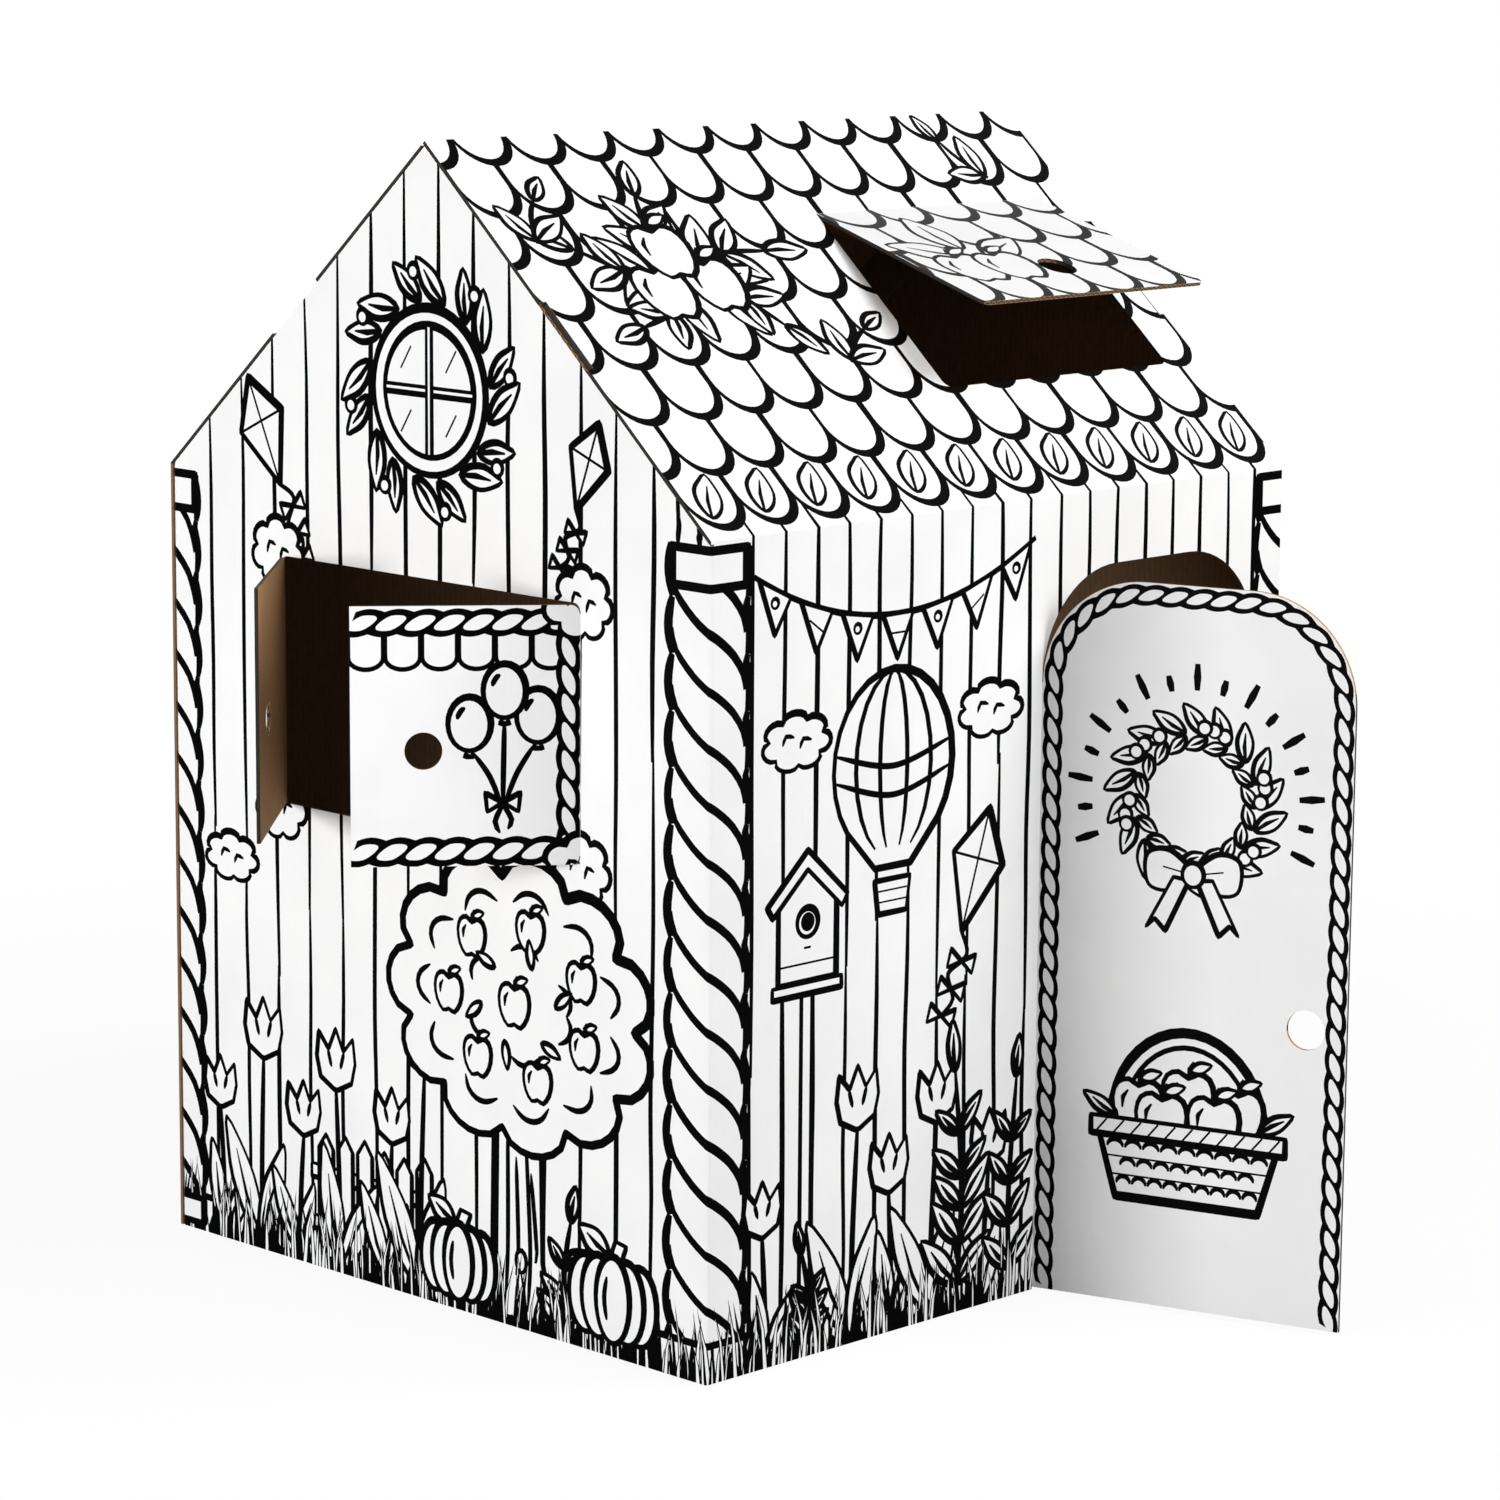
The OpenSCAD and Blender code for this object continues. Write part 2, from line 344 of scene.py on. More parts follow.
def grass(art, s0, s1, count, tall):
    """Upright blades, dark between and light in front, thicker towards the foot."""
    step = 9
    n = int((s1 - s0) / step)
    foot = [(s0 + step * i, dice.uniform(3, 8) if i % 2 else dice.uniform(12, 26)) for i in range(n + 1)]
    art.fill([(s0, -3)] + foot + [(s0 + step * n, -3)], INK)
    for i in range(count):
        s = dice.uniform(s0, s1)
        h = tall * dice.uniform(0.35, 1) ** 1.3
        lean = wobble(0.22) * h
        w = dice.uniform(5, 9)
        mid = (s + lean * 0.3, h * 0.5)
        art.fill([(s - w / 2, -3), (s + w / 2, -3), (mid[0] + w * 0.32, mid[1]), (s + lean, h),
                  (mid[0] - w * 0.32, mid[1])], INK)
        if i % 2:
            k = w * 0.5 - 1.9
            art.fill([(s - k, -3), (s + k, -3), (mid[0] + k * 0.6, mid[1]), (s + lean * 0.85, h * 0.84),
                      (mid[0] - k * 0.6, mid[1])])


# Simple ornaments
def leaf(art, x, y, length, turn, wide=0.36, width=4, vein=True):
    c, s = around(0, 0, 1, 1, turn)

    def at(u, v):
        return x + (u * c - v * s) * length, y + (u * s + v * c) * length

    pts = [at(0, 0), at(0.22, wide * 0.4), at(0.55, wide * 0.5), at(0.84, wide * 0.24), at(1, 0),
           at(0.8, -wide * 0.28), at(0.5, -wide * 0.48), at(0.2, -wide * 0.36)]
    art.shape(smooth(pts, closed=True, step=length / 12), width)
    if vein:
        art.line([at(0.02, 0), at(0.38, 0.025), at(0.74, -0.01)], width * 0.8, ends=(1, 0.4))


def sprig(art, pts, size, count=5, width=4, wide=0.36):
    """A stem with leaves on both sides and one at its tip."""
    path = smooth(pts, step=8)
    art.line(path, width, ends=(1, 0.6))
    for i in range(count):
        k = int((0.18 + 0.72 * i / count) * (len(path) - 2))
        p, q = path[k], path[k + 1]
        turn = math.degrees(math.atan2(q[1] - p[1], q[0] - p[0]))
        grow = size * (1 - 0.4 * i / count)
        for side in (1, -1):
            leaf(art, *p, grow * dice.uniform(0.9, 1.1), turn + side * dice.uniform(38, 52), wide, width)
    p, q = path[-2], path[-1]
    leaf(art, q[0], q[1], size * 0.75, math.degrees(math.atan2(q[1] - p[1], q[0] - p[0])), wide, width)


def tulip(art, x, high, size, lean):
    top = (x + lean, high - size)
    art.curve([(x, 0), (x + lean * 0.3, top[1] * 0.5), top], 5, ends=(1, 0.8))
    leaf(art, x, 8, high * 0.52, 108 + lean, 0.26)
    leaf(art, x, 4, high * 0.46, 66 + lean, 0.28)
    a, b = top
    cup = [(-0.05, 0), (-0.42, 0.18), (-0.52, 0.55), (-0.46, 1.0), (-0.2, 0.72), (0, 1.12), (0.2, 0.72),
           (0.46, 1.0), (0.52, 0.55), (0.42, 0.18), (0.05, 0)]
    art.shape([(a + u * size, b + v * size) for u, v in cup], 4.5)
    for side in (-size, size):
        art.curve([(a + side * 0.22, b + 0.72 * size), (a + side * 0.12, b + 0.4 * size)], 3.5)


def scalloped(x, y, rx, ry, n, bulge, start=0):
    """A closed outline of round bumps on an ellipse."""
    pts = []
    for i in range(n):
        a0, a1 = start + 2 * math.pi * i / n, start + 2 * math.pi * (i + 1) / n
        for j in range(7):
            u = j / 7
            a = a0 + (a1 - a0) * u
            k = 1 + bulge * math.sin(math.pi * u) ** 0.6 if j else 1
            pts.append((x + rx * k * math.cos(a), y + ry * k * math.sin(a)))
    return pts


def cloud(art, x, y, rx, ry, n=7, width=5):
    art.shape(scalloped(x, y, rx, ry, n, 0.24, start=0.3), width)
    for u, v in ((-0.5, -0.1), (0.12, -0.3)):
        art.curve([(x + u * rx, y + v * ry), (x + (u + 0.12) * rx, y + (v + 0.4) * ry),
                   (x + (u + 0.42) * rx, y + (v + 0.3) * ry)], width * 0.62)


def apple(art, x, y, r, width=4.5):
    body = [(0, 0.78), (0.38, 0.98), (0.82, 0.8), (1, 0.25), (0.85, -0.45), (0.42, -0.95), (0, -0.84),
            (-0.42, -0.95), (-0.85, -0.45), (-1, 0.25), (-0.82, 0.8), (-0.38, 0.98)]
    art.shape(smooth([(x + u * r, y + v * r) for u, v in body], closed=True, step=r / 4), width)
    art.line([(x, y + 0.7 * r), (x + 0.06 * r, y + 1.1 * r), (x + 0.2 * r, y + 1.4 * r)], width * 0.9)
    leaf(art, x + 0.08 * r, y + 1.05 * r, r * 0.85, 20, 0.45, width * 0.7, vein=False)
    shine = [(x - 0.62 * r, y - 0.1 * r), (x - 0.6 * r, y + 0.3 * r), (x - 0.4 * r, y + 0.58 * r)]
    art.line(shine, width * 0.7)


def dashes(art, x, y, r0, r1, count, start, end, width=5):
    for i in range(count):
        a = math.radians(start + (end - start) * i / (count - 1))
        far = r1 if i % 2 == 0 else (r0 + r1) / 2 + 3
        art.line([(x + r * math.cos(a), y + r * math.sin(a)) for r in (r0, (r0 + far) / 2, far)], width,
                 ends=(0.8, 0.8), swell=0.2)


def tree(art, x, foot, high, rx):
    ry = rx * 0.78
    y = high - ry
    trunk = [(x - 78, foot), (x - 48, foot + 22), (x - 37, foot + 70), (x - 34, y - ry * 0.72), (x - 60, y),
             (x + 60, y), (x + 34, y - ry * 0.72), (x + 37, foot + 70), (x + 50, foot + 22), (x + 84, foot)]
    art.shape(trunk, 8)
    for k, low, up in ((-20, 20, 0.9), (-4, 50, 1.2), (14, 14, 1.0), (24, 70, 1.3)):
        art.curve([(x + k, foot + low), (x + k + 4, foot + 80), (x + k * 0.8, y - ry * up)], 4, (0.4, 0.4))
    art.shape(oval(x + 4, foot + 66, 8, 12, 14), 4)
    art.shape(scalloped(x, y, rx, ry, 11, 0.17), 8)
    for k in range(11):
        a = (k + 0.5) * 2 * math.pi / 11
        for far, half in ((0.84, 0.2), (0.44, 0.3)):
            if far < 0.5 and k % 2:
                continue
            art.curve([(x + rx * far * math.cos(a + half * d) * (1.07 - 0.12 * d * d),
                        y + ry * far * math.sin(a + half * d) * (1.07 - 0.12 * d * d))
                       for d in (-1, -0.5, 0, 0.5, 1)], 4, ends=(0.4, 0.4))
    for k in range(7):
        a = k * 2 * math.pi / 7 + 0.5
        apple(art, x + rx * 0.62 * math.cos(a), y + ry * 0.6 * math.sin(a), 21)
    apple(art, x - 6, y - 2, 23)
    for k in range(6):
        a = k * 2 * math.pi / 6 + 0.15
        u, v = x + rx * 0.33 * math.cos(a), y + ry * 0.33 * math.sin(a)
        leaf(art, u, v, 30, math.degrees(a) + 30, vein=False)


def fence(art, s0, s1, high, count):
    step = (s1 - s0) / count
    for t in (high * 0.28, high * 0.66):
        art.shape([(s0 - 8, t), (s1 + 8, t), (s1 + 8, t + 15), (s0 - 8, t + 15)], 4)
    for i in range(count):
        a, b = s0 + i * step + 4, s0 + (i + 1) * step - 4
        top = high + wobble(4)
        art.shape([(a, 6), (b, 6), (b, top - 16), ((a + b) / 2, top), (a, top - 16)], 5)


def air_balloon(art, x, y, r):
    body = [around(x, y, r, 1.12 * r, a) for a in range(-40, 221, 13)]
    body += [(x - 0.3 * r, y - 1.2 * r), (x + 0.3 * r, y - 1.2 * r)]
    art.shape(body, 6.5)
    for k in (-0.55, -0.2, 0.2, 0.55):
        arc = range(-62, 89, 15) if k > 0 else range(88, -63, -15)
        art.line([around(x, y, 1.15 * k * r, 1.1 * r, a) for a in arc], 4)
    art.curve([(x - 0.98 * r, y + 0.2 * r), (x, y - 0.02 * r), (x + 0.98 * r, y + 0.2 * r)], 4)
    art.curve([(x - 0.97 * r, y - 0.12 * r), (x, y - 0.36 * r), (x + 0.97 * r, y - 0.12 * r)], 4)
    b = y - 1.75 * r
    for k in (-0.27, 0.27):
        art.line([(x + k * r, y - 1.2 * r), (x + k * 0.95 * r, b + 0.4 * r)], 3)
    top = b + 0.4 * r
    art.shape([(x - 0.3 * r, top), (x - 0.24 * r, b), (x + 0.24 * r, b), (x + 0.3 * r, top)], 5)
    for k in (0.14, 0.27):
        art.line([(x - 0.25 * r, b + k * r), (x + 0.25 * r, b + k * r)], 3)


def kite(art, x, y, size, turn):
    art.place(x, y, size / 100, turn)
    art.shape([(0, 62), (40, 8), (0, -70), (-40, 8)], 6.5)
    art.line([(0, 62), (0, -70)], 4.5)
    art.line([(-40, 8), (40, 8)], 4.5)
    tail = smooth([(0, -70), (16, -92), (-6, -116), (10, -140), (-2, -160)])
    art.line(tail, 4, ends=(1, 1))
    for k in (0.36, 0.72, 1.0):
        p = tail[int(k * (len(tail) - 1))]
        for side in (1, -1):
            art.shape([p, (p[0] + side * 20, p[1] + 10), (p[0] + side * 20, p[1] - 10)], 4)
    art.place()


def pumpkin(art, x, y, rx, ry):
    low = y + 1.7 * ry
    art.shape([(x - 9, low), (x + 9, low), (x + 20, y + 2.3 * ry), (x + 4, y + 2.36 * ry)], 5)
    leaf(art, x - 6, y + 2 * ry, rx * 0.8, 152, 0.55, 5)
    for k in (-0.64, 0.64, -0.34, 0.34, 0):
        art.shape(oval(x + k * rx, y + ry, rx * 0.4, ry * (1 - 0.16 * abs(k))), 6)
    art.curve([(x - 0.14 * rx, y + 1.5 * ry), (x - 0.2 * rx, y + ry), (x - 0.14 * rx, y + 0.5 * ry)], 4)


def bird_house(art, x, foot, high):
    art.shape([(x - 8, foot), (x + 8, foot), (x + 8, high - 120), (x - 8, high - 120)], 5)
    low, side = high - 128, high - 42
    art.shape([(x - 42, low), (x + 42, low), (x + 42, side), (x, high - 6), (x - 42, side)], 6)
    art.shape([(x, high + 8), (x - 58, high - 44), (x - 50, high - 56), (x, high - 12), (x + 50, high - 56),
               (x + 58, high - 44)], 5)
    art.shape(oval(x, high - 66, 15), 5)
    art.shape(oval(x, high - 66, 8, n=16), 3, ink=INK)
    art.line([(x - 40, high - 108), (x + 40, high - 108)], 3.5)
    art.shape([(x - 50, high - 140), (x + 50, high - 140), (x + 50, high - 128), (x - 50, high - 128)], 4.5)
    art.line([(x - 5, high - 92), (x + 5, high - 92)], 4)


def bunting(art, s0, s1, t, sag, count):
    def cord(u):
        return s0 + (s1 - s0) * u, t - 4 * sag * u * (1 - u)

    art.line([cord(i / 24) for i in range(25)], 4.5, ends=(1, 1))
    for i in range(count):
        a, b, c = cord((i + 0.12) / count), cord((i + 0.5) / count), cord((i + 0.88) / count)
        art.shape([a, (b[0], b[1] - 46), c], 4.5)
        if i % 2:
            art.line([((a[0] + b[0]) / 2 + 1, a[1] - 20), ((c[0] + b[0]) / 2 - 1, c[1] - 20)], 3.5)
        else:
            art.shape(oval(b[0], b[1] - 14, 5, n=12), 3)


def wreath(art, x, y, r):
    for i in range(18):
        a = 20 * i
        c, s = around(0, 0, 1, 1, a)
        leaf(art, x + (r - 6) * c, y + (r - 6) * s, r * 0.52, a + 52, 0.44, 4.5)
        leaf(art, x + (r - 10) * c, y + (r - 10) * s, r * 0.34, a + 128, 0.5, 4)
    for i in range(6):
        a = math.radians(60 * i + 12)
        for k in (-0.14, 0.06, 0.2):
            u, v = x + (r + 5 * math.sin(9 * k)) * math.cos(a + k), y + r * math.sin(a + k)
            art.shape(oval(u, v, 7.5, n=14), 3.5)
    b = y - r
    for side in (1, -1):
        art.shape(smooth([(x, b), (x + side * 26, b + 24), (x + side * 52, b + 18), (x + side * 50, b - 14),
                          (x + side * 24, b - 18)], closed=True), 5.5)
        art.shape([(x + side * 4, b - 6), (x + side * 30, b - 62), (x + side * 42, b - 50),
                   (x + side * 52, b - 60), (x + side * 22, b - 4)], 5)
        art.line([(x + side * 12, b + 2), (x + side * 34, b + 6)], 3.5)
    art.shape(oval(x, b, 12, 13), 5)


def basket(art, x, y, size):
    art.place(x, y, size / 100)
    art.line(oval(0, 60, 74, 92, 20, 8, 172), 8, swell=0.1)
    art.line(oval(0, 60, 62, 79, 20, 10, 170), 3.5)
    for u, v in ((-46, 82), (46, 84), (0, 94), (-24, 72), (24, 74)):
        apple(art, u, v, 24)
    leaf(art, -66, 72, 36, 150)
    leaf(art, 66, 72, 36, 32)
    art.shape([(-66, 0), (66, 0), (84, 62), (-84, 62)], 6)
    for row in range(3):
        t = 4 + 16 * row
        w = 66 + 4.6 * row
        n = 9
        for i in range(n):
            a = -w + 2 * w * i / n + (w / n if row % 2 else 0)
            if a + 2 * w / n < w + 3:
                art.line(oval(a + w / n, t + 8, w / n - 1, 6.5, 9, 180, 0), 3.2)
        art.line([(-w, t), (w, t)], 3.2)
    art.shape([(-90, 54), (90, 54), (90, 70), (-90, 70)], 5)
    for i in range(11):
        a = -80 + 16 * i
        art.line([(a - 5, 56), (a + 5, 68)], 3.4)
    art.place()


def round_window(art, x, y, r):
    for i in range(16):
        a = 22.5 * i + 8
        c, s = around(0, 0, 1, 1, a)
        turn = a + (58 if i % 2 else 42)
        leaf(art, x + (r + 12) * c, y + (r + 12) * s, 62 if i % 2 else 54, turn, 0.4, 5)
        if i % 2 == 0:
            art.shape(oval(*around(x, y, r + 42, r + 42, a + 3), 8, n=14), 4)
    art.shape(oval(x, y, r + 4, n=44), 7)
    art.shape(oval(x, y, r - 14, n=40), 6)
    for a, b in (((-r + 14, -4), (r - 14, 4)), ((-4, -r + 14), (4, r - 14))):
        u0, v0, u1, v1 = x + a[0], y + a[1], x + b[0], y + b[1]
        art.shape([(u0, v0), (u1, v0), (u1, v1), (u0, v1)], 4)
    for u, v in ((-1, 1), (1, 1), (1, -1), (-1, -1)):
        a, b = x + u * r * 0.42, y + v * r * 0.4
        art.line([(a - 9, b - 12), (a + 7, b + 12)], 3.5)


def balloons(art, x, y, size):
    art.place(x, y, size / 100)
    for u, v, k in ((-34, 84, -1), (36, 92, 1), (2, 118, 0)):
        art.curve([(k * 2, 0), (u * 0.4, v * 0.35), (u * 0.9, v - 30)], 3.5)
        art.shape([(u - 5, v - 34), (u + 5, v - 34), (u, v - 24)], 3.5)
        art.shape(oval(u, v, 22, 28, 24), 5)
        art.line(oval(u, v, 13, 18, 6, 110, 165), 3.5)
    for side in (1, -1):
        art.shape([(0, 2), (side * 18, 12), (side * 16, -8)], 4)
    art.curve([(0, 0), (-8, -18), (-3, -30)], 3.5)
    art.curve([(0, 0), (9, -16), (5, -26)], 3.5)
    art.place()


def rope(art, path, width, pitch, line=5.5):
    """A twisted cord along a path: a dark band with bulging edges and a slanting cell for each strand."""
    lengths = [0]
    for p, q in zip(path, path[1:]):
        lengths.append(lengths[-1] + math.dist(p, q))
    total = lengths[-1]

    def off(d, side):
        d = min(max(d, 0), total)
        i = max(j for j in range(len(lengths) - 1) if lengths[j] <= d + 1e-9)
        p, q = path[i], path[i + 1]
        k = (d - lengths[i]) / (lengths[i + 1] - lengths[i])
        dx, dy = q[0] - p[0], q[1] - p[1]
        m = math.hypot(dx, dy)
        return p[0] + dx * k - dy / m * side, p[1] + dy * k + dx / m * side

    count = max(1, round(total / pitch))
    step = total / count
    for i in range(count):
        a = i * step
        wave = [(j / 6, 0.78 + 0.22 * math.sin(math.pi * j / 6)) for j in range(7)]
        edge = [off(a + step * (u + 0.3), width / 2 * k) for u, k in wave]
        back = [off(a + step * (u - 0.3), -width / 2 * k) for u, k in wave]
        art.fill(edge + back[::-1], INK)
    h = width / 2 - line
    shape = ((0.02, -0.9), (0.0, -0.45), (0.22, 0.35), (0.5, 0.95), (0.78, 1.05), (0.98, 0.9), (1.0, 0.45),
             (0.78, -0.35), (0.5, -0.95), (0.22, -1.05))
    for i in range(count):
        a = i * step
        pts = [off(a + step * (0.5 + (u - 0.5) * 1.02), side * h) for u, side in shape]
        art.fill(smooth(pts, closed=True, step=4))


# Materials
def material(name, rough, shine=0.5):
    made = bpy.data.materials.new(name)
    made.use_nodes = True
    tree = made.node_tree
    shader = tree.nodes["Principled BSDF"]
    shader.inputs["Roughness"].default_value = rough
    shader.inputs["Specular IOR Level"].default_value = shine
    return made, tree, shader


def node(tree, kind, **values):
    made = tree.nodes.new(kind)
    for key, value in values.items():
        if key.startswith("in_"):
            made.inputs[int(key[3:])].default_value = value
        else:
            setattr(made, key, value)
    return made


def math_node(tree, operation, a, b=None):
    made = tree.nodes.new("ShaderNodeMath")
    made.operation = operation
    for i, value in enumerate((a, b)):
        if value is None:
            continue
        if isinstance(value, (int, float)):
            made.inputs[i].default_value = value
        else:
            tree.links.new(value, made.inputs[i])
    return made.outputs[0]


def place_on_sheet(tree):
    """The sheet's own coordinates: across the flutes and along them, in metres."""
    uv = node(tree, "ShaderNodeUVMap", uv_map="sheet")
    split = node(tree, "ShaderNodeSeparateXYZ")
    tree.links.new(uv.outputs[0], split.inputs[0])
    return uv.outputs[0], split.outputs[0], split.outputs[1]


def ramp(tree, value, stops):
    made = tree.nodes.new("ShaderNodeValToRGB")
    points = made.color_ramp.elements
    while len(points) < len(stops):
        points.new(0.5)
    for point, (where, colour) in zip(points, stops):
        point.position = where
        point.color = (*colour, 1)
    tree.links.new(value, made.inputs[0])
    return made.outputs[0]


FLUTE = 0.0079


def flute_wave(tree, s):
    return math_node(tree, "SINE", math_node(tree, "MULTIPLY", s, 2 * math.pi / FLUTE))


def board_bump(tree, shader, strength, flute, grain):
    """Faint waves of the flutes and a paper grain. Returns the coordinates, the grain and the wave."""
    uv, s, t = place_on_sheet(tree)
    wave = flute_wave(tree, s)
    noise = node(tree, "ShaderNodeTexNoise", in_2=grain, in_3=3)
    tree.links.new(uv, noise.inputs[0])
    height = math_node(tree, "ADD", math_node(tree, "MULTIPLY", wave, flute),
                       math_node(tree, "MULTIPLY", noise.outputs[0], 1 - flute))
    bump = node(tree, "ShaderNodeBump", in_0=strength, in_1=0.0003)
    tree.links.new(height, bump.inputs["Height"])
    tree.links.new(bump.outputs[0], shader.inputs["Normal"])
    return uv, noise.outputs[0], wave


def colour_by(tree, shader, value, low, dark, high, light):
    tree.links.new(ramp(tree, value, ((low, dark), (high, light))), shader.inputs["Base Color"])


def coated_paper():
    made, tree, shader = material("coated_liner", 0.55, 0.2)
    uv = board_bump(tree, shader, 0.25, 0.25, 260)[0]
    blotch = node(tree, "ShaderNodeTexNoise", in_2=9, in_3=4)
    tree.links.new(uv, blotch.inputs[0])
    colour_by(tree, shader, blotch.outputs[0], 0.3, (0.885, 0.885, 0.885), 0.7, (0.935, 0.935, 0.93))
    return made


def black_ink():
    """Matt ink that shines only where it is seen at a low slant."""
    made, tree, shader = material("black_ink", 0.5)
    uv, noise, wave = board_bump(tree, shader, 0.2, 0.3, 300)
    colour_by(tree, shader, noise, 0.3, (0.0008, 0.0009, 0.001), 0.75, (0.0025, 0.0025, 0.003))
    slant = node(tree, "ShaderNodeLayerWeight", in_0=0.5)
    gloss = math_node(tree, "MULTIPLY", math_node(tree, "POWER", slant.outputs["Facing"], 12), 160)
    gloss = math_node(tree, "MINIMUM", math_node(tree, "ADD", gloss, 0.02), 1)
    tree.links.new(gloss, shader.inputs["Specular IOR Level"])
    return made


def bare_liner(name, dark, light):
    """Brown liner with long fibres and the flutes showing faintly through it."""
    made, tree, shader = material(name, 0.85, 0.25)
    uv, noise, wave = board_bump(tree, shader, 0.4, 0.35, 220)
    stretch = node(tree, "ShaderNodeMapping")
    stretch.inputs["Scale"].default_value = (900, 60, 1)
    tree.links.new(uv, stretch.inputs[0])
    fibre = node(tree, "ShaderNodeTexNoise", in_2=1, in_3=5)
    tree.links.new(stretch.outputs[0], fibre.inputs[0])
    mixed = math_node(tree, "ADD", math_node(tree, "MULTIPLY", fibre.outputs[0], 0.8),
                      math_node(tree, "MULTIPLY", wave, 0.05))
    colour_by(tree, shader, mixed, 0.2, dark, 0.6, light)
    return made


def open_flutes():
    """The cut across the flutes: two liners and the wave between them, with the hollows between coloured
    dark brown as painted shade.
    """
    made, tree, shader = material("open_flutes", 0.9)
    uv, s, t = place_on_sheet(tree)
    wave = flute_wave(tree, s)
    middle = math_node(tree, "ADD", math_node(tree, "MULTIPLY", wave, 0.0013), BOARD / 2)
    off = math_node(tree, "ABSOLUTE", math_node(tree, "SUBTRACT", t, middle))
    liner = math_node(tree, "ABSOLUTE", math_node(tree, "SUBTRACT", t, BOARD / 2))
    # Where there is neither liner nor wave the cut is dark brown: painted shade inside the hollow flutes.
    paper_here = math_node(tree, "MAXIMUM", math_node(tree, "LESS_THAN", off, 0.00045),
                           math_node(tree, "GREATER_THAN", liner, 0.0016))
    colour_by(tree, shader, paper_here, 0.0, (0.045, 0.025, 0.012), 1.0, (0.36, 0.22, 0.11))
    return made


def shaded_cut_side():
    """The cut along the flutes, coloured near black: painted shade on the board's cut edges, where the bare
    board is brown.
    """
    made, tree, shader = material("shaded_cut_side", 0.9)
    noise = node(tree, "ShaderNodeTexNoise", in_2=400, in_3=4)
    tree.links.new(place_on_sheet(tree)[0], noise.inputs[0])
    colour_by(tree, shader, noise.outputs[0], 0.3, (0.008, 0.007, 0.006), 0.7, (0.03, 0.022, 0.016))
    return made


# Turning CAD nodes into printed board
def welded(obj):
    """The node's corners, joined where they meet, and its triangles."""
    index, points, remap = {}, [], []
    for v in obj.data.vertices:
        key = tuple(round(c * 1e6 / 2) for c in v.co)
        if key not in index:
            index[key] = len(points)
            points.append(Vector(v.co))
        remap.append(index[key])
    obj.data.calc_loop_triangles()
    faces = []
    for t in obj.data.loop_triangles:
        f = tuple(remap[i] for i in t.vertices)
        if len(set(f)) == 3:
            faces.append(f)
    return points, faces


def loops_of(edges):
    """Chains directed edges into closed loops."""
    after = {}
    for a, b in edges:
        after.setdefault(a, []).append(b)
    loops = []
    while after:
        start = next(iter(after))
        loop = [start]
        while True:
            here = loop[-1]
            nxt = after[here].pop()
            if not after[here]:
                del after[here]
            if nxt == loop[0]:
                break
            loop.append(nxt)
        loops.append(loop)
    return loops


def signed_area(pts):
    return sum(p[0] * q[1] - p[1] * q[0] for p, q in zip(pts, pts[1:] + pts[:1])) / 2


FOLD_LINES = [FOLD_X * 1000, GABLE_S * 1000, FAR_S * 1000]
FOLD_ROWS = [EAVE_T * 1000, SLOPE_T * 1000]
EDGE_END = 0.01
ON_EDGE = 0.0015


def printed_faces(faces, home):
    """The faces of the printed surface with their corners' places on the sheet, and all other faces."""
    outer, rest = {}, []
    for f in faces:
        ps = [home[i] for i in f]
        kind = next((k for k in KINDS if all(is_on(p, k) for p in ps)), None)
        flats = [flat_of(p, kind) for p in ps] if kind else []
        if kind and (ps[1] - ps[0]).cross(ps[2] - ps[0]).length > 1e-12 and signed_area(flats) > 0:
            outer[f] = dict(zip(f, flats))
        else:
            rest.append(f)
    return outer, rest


def fold_edges(place):
    """Lines along the folds, one for each facet of the bend."""
    rows = {round(t, 4) for s, t in place.values() if FOLD_ROWS[0] < t < FOLD_ROWS[1] and s > -ROOF_S + 0.1}
    lines = {round(s, 4) for s, t in place.values()
             if t < FOLD_TOP and (FOLD_LINES[1] < s < FOLD_LINES[0] or s < FOLD_LINES[2])}
    return ([((s, -1.0), (s, FOLD_TOP)) for s in sorted(lines | set(FOLD_LINES))]
            + [((-ROOF_S - 1, t), (ROOF_S + 1, t)) for t in sorted(rows | set(FOLD_ROWS))])


def points_on(rim, place, spots):
    """For each edge of the rim, the points that lie on it, in their order along it."""
    found = {}
    for a, b in rim:
        (s0, t0), (s1, t1) = place[a], place[b]
        ds, dt = s1 - s0, t1 - t0
        length = math.hypot(ds, dt)
        if length <= EDGE_END:
            continue
        on_edge = []
        for i, (s, t) in spots:
            if (min(s0, s1) - EDGE_END <= s <= max(s0, s1) + EDGE_END
                    and min(t0, t1) - EDGE_END <= t <= max(t0, t1) + EDGE_END
                    and abs((s - s0) * dt - (t - t0) * ds) / length < ON_EDGE):
                u = ((s - s0) * ds + (t - t0) * dt) / length
                if 0 < u < length:
                    on_edge.append((u, i))
        found[(a, b)] = [i for u, i in sorted(on_edge)]
    return found


